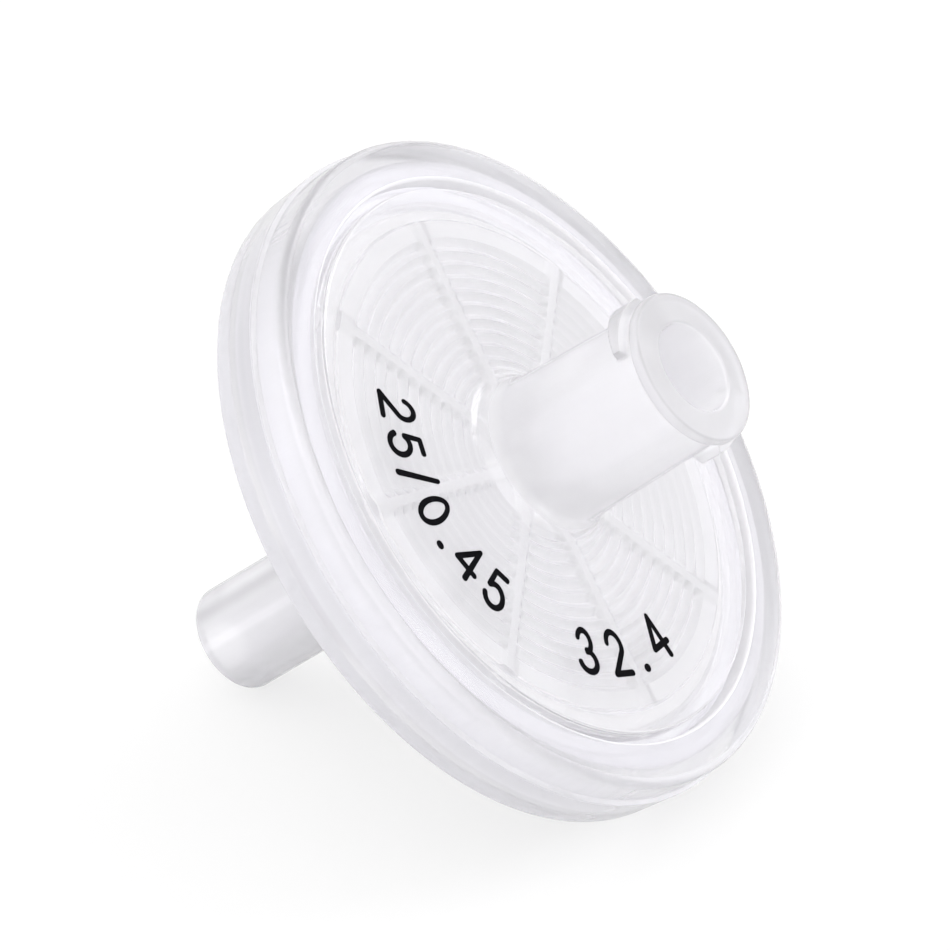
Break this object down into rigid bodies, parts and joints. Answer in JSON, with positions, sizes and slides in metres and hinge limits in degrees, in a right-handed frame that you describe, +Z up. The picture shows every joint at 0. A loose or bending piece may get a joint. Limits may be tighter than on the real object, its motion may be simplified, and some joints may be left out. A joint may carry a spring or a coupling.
{
  "type": "syringe filter",
  "caption": "Round disc filter of clear-white plastic with a lugged taper socket on one face and a plain spout on the other, lying on its rim and spout.",
  "frame": {"origin": "centre of the bounding box in plan, on the surface that the filter lies on", "axes": "+Z up; +Y across the disc, level with the surface; the filter's own axis leans in the XZ plane, from the spout's end on the surface at -X up to the socket at +X"},
  "size_m": [0.027, 0.0324, 0.0269],
  "materials": {
    "clear_white_plastic": "smooth moulded",
    "ring_plastic": "smooth moulded",
    "glass_fibre": "soft felted fibre",
    "membrane_film": "matt film"
  },
  "bodies": {
    "root": {"inlet_housing": "clear_white_plastic", "outlet_housing": "clear_white_plastic", "sealing_ring": "ring_plastic", "glass_fibre_prefilter": "glass_fibre", "membrane": "membrane_film"}
  },
  "joints": []
}
